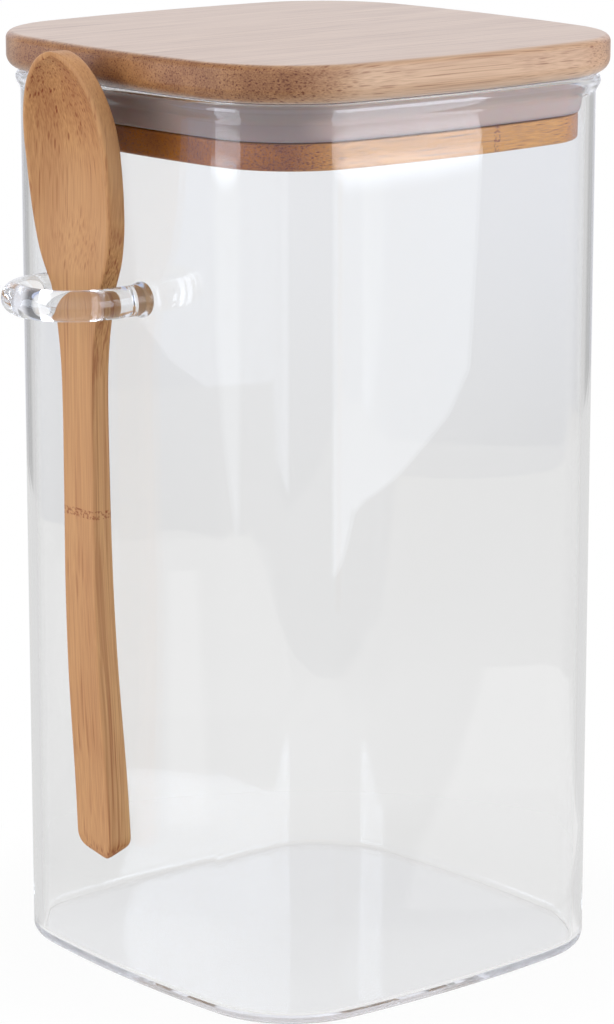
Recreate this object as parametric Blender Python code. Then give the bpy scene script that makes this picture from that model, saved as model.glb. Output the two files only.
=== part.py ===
# Airtight storage jar: a square glass jar with crowned sides and soft corners, a bamboo lid
# that plugs into its mouth with a silicone ring, and a bamboo spoon that hangs in a glass
# loop on the side of the jar.
#
# Metres, +Z up. The origin is the middle of the underside of the jar. The loop and the
# spoon are on the face that looks towards -Y.
#
# How it goes together: the glass rod is bent to a loop and fused to the wall, the plug is
# glued under the lid board, the ring is stretched over the plug into the groove between
# the two, and the neck of the spoon wedges between the legs of the loop.

import math

import bmesh
import bpy
import numpy

# Fit between pieces that touch on the real jar
SEAT_GAP = 0.0003

# Jar: outer width across two crowned faces, and the two radii of its plan outline
JAR_WIDTH = 0.1020
FACE_RADIUS = 0.2880
CORNER_RADIUS = 0.0230
RIM_HEIGHT = 0.1907
WALL = 0.0020
BASE_THICKNESS = 0.0017
FOOT_ROUND = 0.0020
FLOOR_ROUND = 0.0013
BEAD_HEIGHT = 0.0042
BEAD_PROUD = 0.0010

# Lid board
LID_THICKNESS = 0.0078
LID_OVERHANG = 0.0029
LID_TOP_ROUND = 0.0016
LID_UNDER_ROUND = 0.0030

# Plug under the board: a neck that the ring grips, over a flange that keeps the ring on
FLANGE_HEIGHT = 0.0055
FLANGE_CLEARANCE = 0.0017
FLANGE_ROUND = 0.0007
NECK_DEPTH = 0.0036

# Silicone ring: a band that keeps off the glass, with a lip that flares over the rim
RING_HEIGHT = 0.0077
BAND_CLEARANCE = 0.0008
BAND_TURN_IN = 0.0040
LIP_ROOT = 0.0006

# Glass loop
ROD_WIDTH = 0.0064
LOOP_INNER_WIDTH = 0.0170
LOOP_LEG = 0.0085
LOOP_HEIGHT = 0.1486
LOOP_OFFSET = -0.0030
FUSED_WIDTH = 0.0073
FUSED_LENGTH = 0.0018

# Spoon: lengths up and down from the middle of the loop, where its neck wedges
BOWL_LENGTH = 0.0502
TIP_LENGTH = 0.0200
BOWL_WIDTH = 0.0280
BOWL_THICKNESS = 0.0072
BOWL_EDGE = 0.0040
BOWL_HOLLOW = 0.0036
RIM_LAND = 0.0013
BOWL_LEAN = 0.0050
HANDLE_LENGTH = 0.1212
HANDLE_WIDTH = 0.0102
HANDLE_END_WIDTH = 0.0119
NECK_THICKNESS = 0.0042
END_THICKNESS = 0.0058
END_LENGTH = 0.0065
# the end is sanded at a slant, and is lowest at its front right edge
END_SLANT = 0.0024
END_FULLNESS = 2.8
SPOON_STANDOFF = 0.0040
SPOON_EDGE = 0.0004
# it hangs a little askew, with the bowl to the left
SPOON_TILT_DEGREES = 0.6

# How finely curves are faceted
FACE_STEPS = 6
CORNER_STEPS = 12
ROUND_STEPS = 4
BEAD_STEPS = 4
RIM_STEPS = 8
LIP_STEPS = 3
ROD_SIDES = 20
BEND_STEPS = 18
HOLLOW_STEPS = 12
SHAFT_STEPS = 20
BOWL_STEPS = 14
NOSE_STEPS = 8
SMOOTH_UP_TO_DEGREES = 35

# Shares of how far a shape has gone from one named size to the next, as rows of
# (share of the way along, share of the change).
# The fused foot of the loop: away from the wall, what is left of its flare.
FLARE_SHARES = ((0, 1), (0.30, 1), (0.60, 0.72), (0.82, 0.22), (1, 0))
# Up from the loop to the widest place of the bowl: from the width of the neck to the bowl's.
SPREAD_SHARES = ((0, 0), (0.04, 0.04), (0.13, 0.27), (0.23, 0.52), (0.43, 0.80), (0.70, 0.96), (1, 1))
# Up from the loop to the tip: the lean of the bowl away from the jar.
LEAN_SHARES = ((0, 0), (0.14, 0.08), (0.28, 0.15), (0.42, 0.25), (0.56, 0.37), (0.70, 0.53), (1, 1))
# Up from the loop to the tip: from the flat shaft to the hollow bowl.
DISH_SHARES = ((0, 0), (0.08, 0.06), (0.20, 0.38), (0.34, 0.76), (0.52, 1), (0.80, 1), (1, 1))
# Down from the loop to the end: what is left of the extra width of the neck.
TAPER_SHARES = ((0, 1), (0.05, 0.56), (0.08, 0.34), (0.12, 0.15), (0.19, 0.03), (0.30, 0), (1, 0))
# Down from the loop to the end: from the thickness of the neck to that of the end.
THICKEN_SHARES = ((0, 0), (0.15, 0.12), (0.36, 0.26), (0.55, 0.58), (0.75, 0.88), (1, 1))
# Down from the loop to the end: what is left of the air behind the handle.
STANDOFF_SHARES = ((0, 1), (0.20, 0.98), (0.38, 0.95), (0.50, 0.88), (0.62, 0.72), (0.88, 0.16), (1, 0))
# The last section of a nose, as a share of the way to its very tip.
NOSE_END_SHARE = 0.98

# Worked out from the sizes above. The outline's corner arcs meet its face arcs tangentially.
HALF_WIDTH = JAR_WIDTH / 2
FACE_CENTRE = FACE_RADIUS - HALF_WIDTH
CORNER_CENTRE = (math.sqrt(2 * (FACE_RADIUS - CORNER_RADIUS) ** 2 - FACE_CENTRE**2) - FACE_CENTRE) / 2
FACE_ANGLE = math.atan2(CORNER_CENTRE, CORNER_CENTRE + FACE_CENTRE)
RIM_ROUND = (WALL + BEAD_PROUD) / 2
LID_UNDERSIDE = RIM_HEIGHT + SEAT_GAP
RING_TOP = -SEAT_GAP
RING_BOTTOM = RING_TOP - RING_HEIGHT
FLANGE_TOP = RING_BOTTOM - SEAT_GAP
FLANGE_BOTTOM = FLANGE_TOP - FLANGE_HEIGHT
FLANGE_OFFSET = -WALL - FLANGE_CLEARANCE
NECK_OFFSET = FLANGE_OFFSET - NECK_DEPTH
ROD_RADIUS = ROD_WIDTH / 2
LOOP_RADIUS = LOOP_INNER_WIDTH / 2 + ROD_RADIUS
SPOON_NECK = LOOP_INNER_WIDTH / 2 - SEAT_GAP


def clear_scene():
    for thing in list(bpy.data.objects):
        bpy.data.objects.remove(thing, do_unlink=True)


def make_material(name, colour, roughness, transmission=0.0, ior=1.5):
    material = bpy.data.materials.new(name)
    material.use_nodes = True
    shader = material.node_tree.nodes["Principled BSDF"]
    shader.inputs["Base Color"].default_value = (*colour, 1.0)
    shader.inputs["Metallic"].default_value = 0.0
    shader.inputs["Roughness"].default_value = roughness
    shader.inputs["Transmission Weight"].default_value = transmission
    shader.inputs["IOR"].default_value = ior
    material.diffuse_color = (*colour, 1.0)
    return material


def add_carrier(name, place):
    """An empty on the axis of a joint, which carries the pieces that move along it."""
    empty = bpy.data.objects.new(name, None)
    empty.location = place
    bpy.context.collection.objects.link(empty)
    return empty


def add_piece(name, bm, material, parent=None):
    bmesh.ops.recalc_face_normals(bm, faces=bm.faces)
    mesh = bpy.data.meshes.new(name)
    bm.to_mesh(mesh)
    bm.free()
    mesh.materials.append(material)
    mesh.shade_smooth()
    mesh.set_sharp_from_angle(angle=math.radians(SMOOTH_UP_TO_DEGREES))
    piece = bpy.data.objects.new(name, mesh)
    piece.parent = parent
    bpy.context.collection.objects.link(piece)
    return piece


def extrude_through(sections, ring=False):
    """Fills the first section and extrudes its face to each next one.

    The ends are capped, or, for a ring, the last section is bridged back to the first.
    """
    bm = bmesh.new()
    face = bm.faces.new([bm.verts.new(point) for point in sections[0]])
    first = list(face.verts)
    first_edges = list(face.edges)
    for section in sections[1:]:
        face = bmesh.ops.extrude_discrete_faces(bm, faces=[face])["faces"][0]
        for vert, point in zip(face.verts, section):
            vert.co = point
    if ring:
        last_edges = list(face.edges)
        bm.faces.remove(face)
        bmesh.ops.bridge_loops(bm, edges=first_edges + last_edges)
    else:
        bm.faces.new(first)
    return bm


def arc(centre, radius, start, stop, steps):
    """Points of a profile on an arc, with its angles in degrees."""
    points = []
    for step in range(steps + 1):
        angle = math.radians(start + (stop - start) * step / steps)
        points.append((centre[0] + radius * math.cos(angle), centre[1] + radius * math.sin(angle)))
    return points


def crowned_square(offset, height):
    """The plan outline of the jar, moved outwards by offset, at a height."""
    points = []
    for quarter in range(4):
        turn = quarter * math.pi / 2
        quarter_points = []
        for step in range(FACE_STEPS):
            angle = FACE_ANGLE * (2 * step / FACE_STEPS - 1)
            reach = FACE_RADIUS + offset
            quarter_points.append((reach * math.cos(angle) - FACE_CENTRE, reach * math.sin(angle)))
        for step in range(CORNER_STEPS):
            angle = FACE_ANGLE + (math.pi / 2 - 2 * FACE_ANGLE) * step / CORNER_STEPS
            reach = CORNER_RADIUS + offset
            x = CORNER_CENTRE + reach * math.cos(angle)
            quarter_points.append((x, CORNER_CENTRE + reach * math.sin(angle)))
        for x, y in quarter_points:
            turned_x = x * math.cos(turn) - y * math.sin(turn)
            turned_y = x * math.sin(turn) + y * math.cos(turn)
            points.append((turned_x, turned_y, height))
    return points


def front_face(x):
    """How far towards -Y the outside of the wall lies at x."""
    return math.sqrt(FACE_RADIUS**2 - x**2) - FACE_CENTRE


def follow(shares, share):
    """A smooth curve through the rows of a table of shares."""
    along = [row[0] for row in shares]
    change = [row[1] for row in shares]
    slopes = numpy.gradient(change, along)
    row = min(max(int(numpy.searchsorted(along, share)) - 1, 0), len(along) - 2)
    span = along[row + 1] - along[row]
    part = min(max((share - along[row]) / span, 0), 1)
    start = (1 + 2 * part) * (1 - part) ** 2 * change[row] + part * (1 - part) ** 2 * span * slopes[row]
    stop = part**2 * (3 - 2 * part) * change[row + 1] + part**2 * (part - 1) * span * slopes[row + 1]
    return float(start + stop)


def build_jar(glass):
    """One wall from the underside, up the outside, over the rim bead and down to the floor."""
    profile = arc((-FOOT_ROUND, FOOT_ROUND), FOOT_ROUND, -90, 0, ROUND_STEPS)
    bead_foot = RIM_HEIGHT - BEAD_HEIGHT
    bead_crest = RIM_HEIGHT - RIM_ROUND
    for step in range(BEAD_STEPS):
        share = step / BEAD_STEPS
        swell = BEAD_PROUD * (1 - math.cos(math.pi * share)) / 2
        profile.append((swell, bead_foot + (bead_crest - bead_foot) * share))
    profile += arc((BEAD_PROUD - RIM_ROUND, bead_crest), RIM_ROUND, 0, 180, RIM_STEPS)
    floor_centre = (-WALL - FLOOR_ROUND, BASE_THICKNESS + FLOOR_ROUND)
    profile += arc(floor_centre, FLOOR_ROUND, 0, -90, ROUND_STEPS)
    bm = extrude_through([crowned_square(offset, height) for offset, height in profile])
    return add_piece("glass_jar", bm, glass)


def build_lid_board(bamboo, carrier):
    """The board on top, with a round under edge and a smaller one at the top."""
    under_centre = (LID_OVERHANG - LID_UNDER_ROUND, LID_UNDER_ROUND)
    top_centre = (LID_OVERHANG - LID_TOP_ROUND, LID_THICKNESS - LID_TOP_ROUND)
    profile = arc(under_centre, LID_UNDER_ROUND, -90, 0, ROUND_STEPS + 1)
    profile += arc(top_centre, LID_TOP_ROUND, 0, 90, ROUND_STEPS)
    bm = extrude_through([crowned_square(offset, height) for offset, height in profile])
    return add_piece("lid_board", bm, bamboo, carrier)


def build_lid_plug(bamboo, carrier):
    """The second board, routed to a neck for the ring over a flange that holds it."""
    round_centre = (FLANGE_OFFSET - FLANGE_ROUND, FLANGE_BOTTOM + FLANGE_ROUND)
    profile = arc(round_centre, FLANGE_ROUND, -90, 0, ROUND_STEPS)
    profile += [(FLANGE_OFFSET, FLANGE_TOP), (NECK_OFFSET, FLANGE_TOP), (NECK_OFFSET, -SEAT_GAP)]
    bm = extrude_through([crowned_square(offset, height) for offset, height in profile])
    return add_piece("lid_plug", bm, bamboo, carrier)


def build_seal_ring(silicone, carrier):
    """A band in the groove, round at the bottom, with a lip that follows the rim's inner edge."""
    bore = NECK_OFFSET + SEAT_GAP
    band = -WALL - BAND_CLEARANCE
    profile = [(bore, RING_TOP), (bore, RING_BOTTOM)]
    for step in range(ROUND_STEPS + 1):
        angle = math.pi / 2 * step / ROUND_STEPS
        offset = FLANGE_OFFSET + (band - FLANGE_OFFSET) * math.sin(angle)
        profile.append((offset, RING_BOTTOM + BAND_TURN_IN * (1 - math.cos(angle))))
    profile.append((band, RING_TOP - RIM_ROUND - LIP_ROOT))
    lip_radius = RIM_ROUND + SEAT_GAP
    lip_stop = 180 - math.degrees(math.asin(RIM_ROUND / lip_radius))
    profile += arc((BEAD_PROUD - RIM_ROUND, RING_TOP - RIM_ROUND), lip_radius, 180, lip_stop, LIP_STEPS)
    bm = extrude_through([crowned_square(offset, height) for offset, height in profile], ring=True)
    return add_piece("seal_ring", bm, silicone, carrier)


def rod_section(centre, sideways, radius):
    """A circle of the rod, in the plane of Z and the sideways direction."""
    points = []
    for side in range(ROD_SIDES):
        angle = 2 * math.pi * side / ROD_SIDES
        out = radius * math.cos(angle)
        x = centre[0] + sideways[0] * out
        y = centre[1] + sideways[1] * out
        points.append((x, y, radius * math.sin(angle)))
    return points


def loop_leg(side):
    """Sections of one leg from its fused foot on the wall to where the bend begins."""
    x = side * LOOP_RADIUS
    wall = -front_face(LOOP_OFFSET + x) - SEAT_GAP + HALF_WIDTH
    sections = []
    for along_share, flare_share in FLARE_SHARES:
        radius = ROD_RADIUS + (FUSED_WIDTH / 2 - ROD_RADIUS) * flare_share
        sections.append(rod_section((x, wall - FUSED_LENGTH * along_share), (side, 0), radius))
    # the first section lies on the crowned wall
    foot = []
    for rod_x, _, rod_z in sections[0]:
        foot.append((rod_x, HALF_WIDTH - front_face(LOOP_OFFSET + rod_x) - SEAT_GAP, rod_z))
    sections[0] = foot
    return sections


def build_spoon_loop(glass, carrier):
    """A round rod in a U, its two feet flared where they are fused to the wall."""
    sections = loop_leg(1)
    for step in range(BEND_STEPS + 1):
        angle = -math.pi * step / BEND_STEPS
        sideways = (math.cos(angle), math.sin(angle))
        centre = (LOOP_RADIUS * sideways[0], LOOP_RADIUS * sideways[1] - LOOP_LEG)
        sections.append(rod_section(centre, sideways, ROD_RADIUS))
    sections += reversed(loop_leg(-1))
    return add_piece("spoon_loop", extrude_through(sections), glass, carrier)


def spoon_section(height):
    """One section of the spoon, at a height above the middle of the loop. All but the end's are level.

    Distances in y are from the wall towards the front. The front of the bowl is hollow
    between two flat rims, its back is a belly, and the handle is a bar with eased edges and
    an end that is rounded across its width and its thickness.
    """
    if height >= 0:
        up = height / BOWL_LENGTH
        side_length = BOWL_LENGTH - TIP_LENGTH
        nose = max((height - side_length) / TIP_LENGTH, 0)
        nose_width = math.sqrt(1 - nose**2)
        spread = follow(SPREAD_SHARES, min(height / side_length, 1))
        half = (SPOON_NECK + (BOWL_WIDTH / 2 - SPOON_NECK) * spread) * nose_width
        dish = follow(DISH_SHARES, up)
        front = SPOON_STANDOFF + NECK_THICKNESS + BOWL_LEAN * follow(LEAN_SHARES, up)
        side = NECK_THICKNESS + (BOWL_EDGE - NECK_THICKNESS) * dish
        middle = side + (BOWL_THICKNESS - BOWL_EDGE) * dish * nose_width
        hollow_nose = min(nose * TIP_LENGTH / (TIP_LENGTH - RIM_LAND), 1)
        hollow_width = math.sqrt(1 - hollow_nose**2)
        hollow = BOWL_HOLLOW * dish * hollow_width
        hollow_half = (half / nose_width - RIM_LAND) * hollow_width
        wide, deep, foremost, slant = half, side, front, 0
    else:
        down = -height / HANDLE_LENGTH
        nose = max((-height - HANDLE_LENGTH + END_LENGTH) / END_LENGTH, 0)
        shaft = (HANDLE_WIDTH + (HANDLE_END_WIDTH - HANDLE_WIDTH) * down) / 2
        nose_width = (1 - nose**END_FULLNESS) ** (1 / END_FULLNESS)
        wide = shaft + (SPOON_NECK - shaft) * follow(TAPER_SHARES, down)
        half = wide * nose_width
        full = NECK_THICKNESS + (END_THICKNESS - NECK_THICKNESS) * follow(THICKEN_SHARES, down)
        side = full * nose_width ** (1 / 2)
        middle = side
        back = SEAT_GAP + (SPOON_STANDOFF - SEAT_GAP) * follow(STANDOFF_SHARES, down)
        front = back + (full + side) / 2
        hollow = 0
        hollow_half = half - RIM_LAND
        deep, foremost, slant = full, back + full, END_SLANT * nose
    edge = min(SPOON_EDGE, half / 3, side / 3)
    hollow_half = min(max(hollow_half, half / 9), half - 2 * edge)
    points = [(-half, edge - front), (edge - half, -front)]
    for step in range(HOLLOW_STEPS + 1):
        across = 2 * step / HOLLOW_STEPS - 1
        points.append((hollow_half * across, hollow * (1 - across**2) - front))
    points += [(half - edge, -front), (half, edge - front), (half, side - edge - front)]
    for step in range(HOLLOW_STEPS + 1):
        across = math.cos(math.pi * step / HOLLOW_STEPS)
        belly = side + (middle - side) * (1 - across**2)
        points.append(((half - edge) * across, belly - front))
    points.append((-half, side - edge - front))
    placed = []
    for x, y in points:
        lift = slant * ((wide - x) / wide / 2 + (foremost + y) / deep)
        placed.append((x, y, height + lift))
    return placed


def build_spoon(bamboo, carrier):
    """Level sections from the blunt end of the handle up to the tip of the bowl."""
    heights = []
    for step in range(NOSE_STEPS):
        nose = math.sin(math.pi / 2 * NOSE_END_SHARE * (1 - step / NOSE_STEPS))
        heights.append(END_LENGTH * (1 - nose) - HANDLE_LENGTH)
    shaft_length = HANDLE_LENGTH - END_LENGTH
    for step in range(SHAFT_STEPS):
        # the sections lie closer together towards the neck
        share = step / SHAFT_STEPS
        heights.append(-shaft_length * (1 - share) ** (1 + share))
    side_length = BOWL_LENGTH - TIP_LENGTH
    for step in range(BOWL_STEPS):
        heights.append(side_length * step / BOWL_STEPS)
    for step in range(NOSE_STEPS + 1):
        nose = math.sin(math.pi / 2 * NOSE_END_SHARE * step / NOSE_STEPS)
        heights.append(side_length + TIP_LENGTH * nose)
    bm = extrude_through([spoon_section(height) for height in heights])
    spoon = add_piece("spoon", bm, bamboo, carrier)
    spoon.rotation_euler = (0, math.radians(-SPOON_TILT_DEGREES), 0)
    return spoon


def main():
    clear_scene()
    glass = make_material("borosilicate_glass", (0.90, 0.95, 0.94), 0.02, transmission=1.0, ior=1.47)
    bamboo = make_material("bamboo", (0.60, 0.38, 0.18), 0.55)
    silicone = make_material("silicone", (0.58, 0.52, 0.53), 0.40, transmission=0.4, ior=1.41)

    build_jar(glass)
    loop_place = add_carrier("loop_place", (LOOP_OFFSET, -HALF_WIDTH, LOOP_HEIGHT))
    build_spoon_loop(glass, loop_place)

    lid = add_carrier("lid", (0, 0, LID_UNDERSIDE))
    build_lid_board(bamboo, lid)
    build_lid_plug(bamboo, lid)
    build_seal_ring(silicone, lid)

    spoon_place = add_carrier("spoon_place", (LOOP_OFFSET, -HALF_WIDTH, LOOP_HEIGHT))
    build_spoon(bamboo, spoon_place)


main()
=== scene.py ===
# %% [markdown]
# # A square storage jar: glass, bamboo and silicone
#
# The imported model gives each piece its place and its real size, with few faces. Here every
# piece is made again with smooth curves, and gets the material that the real one has. The
# jar is seen through itself, so nearly all of its look comes from three things: thin walls
# of even thickness, a bright white background, and something darker to reflect.

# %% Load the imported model
import math

import bmesh
import bpy
from mathutils import Matrix, Vector


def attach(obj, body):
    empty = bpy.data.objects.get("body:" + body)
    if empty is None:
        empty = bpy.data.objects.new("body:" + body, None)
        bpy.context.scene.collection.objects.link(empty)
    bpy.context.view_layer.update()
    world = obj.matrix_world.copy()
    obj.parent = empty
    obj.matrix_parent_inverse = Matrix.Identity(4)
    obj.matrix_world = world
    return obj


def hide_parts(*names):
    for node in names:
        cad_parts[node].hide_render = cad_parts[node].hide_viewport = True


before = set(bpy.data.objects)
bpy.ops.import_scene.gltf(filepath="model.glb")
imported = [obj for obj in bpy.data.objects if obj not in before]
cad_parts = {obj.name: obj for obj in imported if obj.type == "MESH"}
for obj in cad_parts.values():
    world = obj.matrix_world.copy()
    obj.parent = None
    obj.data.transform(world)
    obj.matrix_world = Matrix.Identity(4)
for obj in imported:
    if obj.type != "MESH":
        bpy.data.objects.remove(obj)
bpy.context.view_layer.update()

# %% [markdown]
# ## Shared sizes
#
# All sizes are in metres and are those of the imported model. The plan outline of the jar is
# the one thing that most pieces share: four slightly crowned faces that run into soft
# corners without a kink. A bevelled square would come close to it. A formula is used because
# the rim, the lid, the plug and the ring all follow the outline at an offset, point by point.

# %% Sizes of the plan outline and the heights
HALF_WIDTH = 0.0510
FACE_RADIUS = 0.2880
CORNER_RADIUS = 0.0230
FACE_CENTRE = FACE_RADIUS - HALF_WIDTH
CORNER_CENTRE = (math.sqrt(2 * (FACE_RADIUS - CORNER_RADIUS) ** 2 - FACE_CENTRE**2) - FACE_CENTRE) / 2
FACE_ANGLE = math.atan2(CORNER_CENTRE, CORNER_CENTRE + FACE_CENTRE)
FACE_STEPS = 22
CORNER_STEPS = 30

RIM_HEIGHT = 0.1907
SEAT_GAP = 0.0003
LID_UNDERSIDE = RIM_HEIGHT + SEAT_GAP
WALL = 0.0020
BEAD_PROUD = 0.0010
RIM_ROUND = (WALL + BEAD_PROUD) / 2


def crowned_square(offset, height, share=1.0):
    """The plan outline moved out by an offset, then shrunk to a share about the middle."""
    points = []
    for quarter in range(4):
        turn = quarter * math.pi / 2
        for step in range(FACE_STEPS + CORNER_STEPS):
            if step < FACE_STEPS:
                angle = FACE_ANGLE * (2 * step / FACE_STEPS - 1)
                reach, centre_x, centre_y = FACE_RADIUS + offset, -FACE_CENTRE, 0.0
            else:
                along = (step - FACE_STEPS) / CORNER_STEPS
                angle = FACE_ANGLE + (math.pi / 2 - 2 * FACE_ANGLE) * along
                reach, centre_x, centre_y = CORNER_RADIUS + offset, CORNER_CENTRE, CORNER_CENTRE
            x = (centre_x + reach * math.cos(angle)) * share
            y = (centre_y + reach * math.sin(angle)) * share
            across = x * math.cos(turn) - y * math.sin(turn)
            deep = x * math.sin(turn) + y * math.cos(turn)
            points.append((across, deep, height))
    return points


outline = crowned_square(0, 0)
print("outline:", len(outline), "points, face angle", round(math.degrees(FACE_ANGLE), 2), "degrees")

# %% [markdown]
# ## One way to make every piece
#
# Blown, routed and carved pieces all have the same nature here: a closed section that
# changes along a path. They could be sculpted, or be boxes with modifiers, but then they
# would no longer seat on each other to a tenth of a millimetre. So each one is a loft. A face
# is filled from the first section, and the extrude operator carries it from section to
# section. A solid keeps its two end faces. A ring has its last section bridged back to the
# first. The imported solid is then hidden, because the new piece stands for it.

# %% The loft, and how a piece joins the model
SMOOTH_UP_TO = math.radians(40)


def loft(sections, ring=False):
    """A bmesh with its first section filled and extruded to each of the others."""
    bm = bmesh.new()
    face = bm.faces.new([bm.verts.new(point) for point in sections[0]])
    first = list(face.verts)
    first_edges = list(face.edges)
    for section in sections[1:]:
        face = bmesh.ops.extrude_discrete_faces(bm, faces=[face])["faces"][0]
        for vert, point in zip(face.verts, section):
            vert.co = point
    if ring:
        last_edges = list(face.edges)
        bm.faces.remove(face)
        bmesh.ops.bridge_loops(bm, edges=first_edges + last_edges)
    else:
        bm.faces.new(first)
    bmesh.ops.recalc_face_normals(bm, faces=bm.faces)
    return bm


def finish_piece(name, bm, node, body):
    """Turns a bmesh into the piece that stands for a node and moves with its body."""
    mesh = bpy.data.meshes.new(name)
    bm.to_mesh(mesh)
    bm.free()
    mesh.shade_smooth()
    mesh.set_sharp_from_angle(angle=SMOOTH_UP_TO)
    piece = bpy.data.objects.new(name, mesh)
    bpy.context.collection.objects.link(piece)
    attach(piece, body)
    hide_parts(node)
    print(name, "has", len(mesh.polygons), "faces")
    return piece


def arc(centre, radius, start, stop, steps):
    """Points of a profile along an arc, between two angles in degrees."""
    points = []
    for step in range(steps + 1):
        angle = math.radians(start + (stop - start) * step / steps)
        points.append((centre[0] + radius * math.cos(angle), centre[1] + radius * math.sin(angle)))
    return points


# %% [markdown]
# ## The glass jar
#
# Borosilicate tube is blown into a square mould, so its wall is even and its corners are
# soft. The rim is melted back with a flame and draws up into a small bead, which bends
# what is seen through it. The base is a little thinner than the wall, and pushed up in the
# middle so that the jar stands on its outer part.
#
# A thin shell with a Solidify modifier would be the quick way, but its wall would be even
# everywhere. Here the inside is drawn as well: one profile runs from the middle of the
# underside, up the outside, over the bead and down to the middle of the floor.

# %% Make the jar
BASE_THICKNESS = 0.0017
FOOT_ROUND = 0.0020
FLOOR_ROUND = 0.0013
BEAD_HEIGHT = 0.0042
PUSH_UP = 0.0005
PUSHED_SHARE = 0.90
BASE_SHARES = (0.02, 0.12, 0.24, 0.36, 0.48, 0.60, 0.70, 0.80, 0.88, 0.94)
WALL_STEPS = 24
BEAD_STEPS = 12


def base_rise(share):
    """How far the base is pushed up at a share of the way out from its middle."""
    return PUSH_UP * (1 + math.cos(math.pi * min(share / PUSHED_SHARE, 1))) / 2


def jar_sections():
    """All sections of the jar, from the middle of its underside to the middle of its floor."""
    sections = [crowned_square(-FOOT_ROUND, base_rise(share), share) for share in BASE_SHARES]
    profile = arc((-FOOT_ROUND, FOOT_ROUND), FOOT_ROUND, -90, 0, 10)
    bead_foot = RIM_HEIGHT - BEAD_HEIGHT
    bead_crest = RIM_HEIGHT - RIM_ROUND
    for step in range(1, WALL_STEPS):
        profile.append((0, FOOT_ROUND + (bead_foot - FOOT_ROUND) * step / WALL_STEPS))
    for step in range(BEAD_STEPS):
        swell = BEAD_PROUD * (1 - math.cos(math.pi * step / BEAD_STEPS)) / 2
        profile.append((swell, bead_foot + (bead_crest - bead_foot) * step / BEAD_STEPS))
    profile += arc((BEAD_PROUD - RIM_ROUND, bead_crest), RIM_ROUND, 0, 180, 20)
    floor_top = BASE_THICKNESS + FLOOR_ROUND
    for step in range(1, WALL_STEPS):
        profile.append((-WALL, bead_crest + (floor_top - bead_crest) * step / WALL_STEPS))
    profile += arc((-WALL - FLOOR_ROUND, floor_top), FLOOR_ROUND, 0, -90, 10)
    sections += [crowned_square(offset, height) for offset, height in profile]
    for share in reversed(BASE_SHARES):
        height = BASE_THICKNESS + base_rise(share) / 2
        sections.append(crowned_square(-WALL - FLOOR_ROUND, height, share))
    return sections


jar = finish_piece("jar_glass", loft(jar_sections()), "glass_jar", "jar")

# %% [markdown]
# ## The glass loop
#
# The loop is a length of clear rod that is bent to a U over a flame. Its two ends are
# pressed on the hot wall, where they spread into small collars. A curve with a round bevel
# makes such a rod in one step, but not its collars, and its ends would be cut straight where
# the wall is crowned. So it is lofted too: a circle travels out from the wall, round the bend
# and back.

# %% Make the loop
ROD_RADIUS = 0.0032
LOOP_RADIUS = 0.0170 / 2 + ROD_RADIUS
LOOP_LEG = 0.0085
LOOP_HEIGHT = 0.1486
LOOP_OFFSET = -0.0030
FUSED_RADIUS = 0.0073 / 2
FUSED_LENGTH = 0.0018
FUSED_GAP = 0.00004
ROD_SIDES = 48
BEND_STEPS = 60
FLARE_SHARES = (
    (0, 0.97), (0.08, 1), (0.30, 0.99), (0.45, 0.90), (0.60, 0.68), (0.72, 0.42), (0.84, 0.18), (1, 0)
)


def wall_at(x):
    """The y of the outside of the front wall at x."""
    return FACE_CENTRE - math.sqrt(FACE_RADIUS**2 - x**2)


def rod_circle(centre_x, centre_y, sideways, radius):
    """A round section of the rod, across the way that it runs."""
    points = []
    for side in range(ROD_SIDES):
        angle = 2 * math.pi * side / ROD_SIDES
        out = radius * math.cos(angle)
        x = centre_x + sideways[0] * out
        y = centre_y + sideways[1] * out
        points.append((x, y, LOOP_HEIGHT + radius * math.sin(angle)))
    return points


def loop_leg(side):
    """One leg from its foot on the wall to the end of its collar; side is 1 or -1."""
    x = LOOP_OFFSET + side * LOOP_RADIUS
    sections = []
    for along, flare in FLARE_SHARES:
        radius = ROD_RADIUS + (FUSED_RADIUS - ROD_RADIUS) * flare
        circle = rod_circle(x, -HALF_WIDTH - FUSED_LENGTH * along, (side, 0), radius)
        # the foot takes the curve of the wall, and the rod is round again past the collar
        section = []
        for px, py, pz in circle:
            bulge = wall_at(px) - FUSED_GAP + HALF_WIDTH
            section.append((px, py + bulge * (1 - along), pz))
        sections.append(section)
    return sections


def loop_sections():
    """All sections of the rod, from its right foot round the bend to its left foot."""
    sections = loop_leg(1)
    for step in range(BEND_STEPS + 1):
        angle = -math.pi * step / BEND_STEPS
        sideways = (math.cos(angle), math.sin(angle))
        x = LOOP_OFFSET + LOOP_RADIUS * sideways[0]
        y = -HALF_WIDTH - LOOP_LEG + LOOP_RADIUS * sideways[1]
        sections.append(rod_circle(x, y, sideways, ROD_RADIUS))
    return sections + list(reversed(loop_leg(-1)))


loop = finish_piece("loop_glass", loft(loop_sections()), "spoon_loop", "jar")

# %% [markdown]
# ## The lid: board, plug and ring
#
# The lid is two bamboo boards glued face to face. The lower one is routed: a narrow neck
# that the silicone ring is stretched over, and below it a wider flange that keeps the ring
# on. The board above overhangs the jar and has a well rounded lower edge, so that fingers
# find it. The Bevel modifier could round a plain board, but gives each edge the same round. A
# profile has room for a different one above, below and at the neck.

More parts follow.
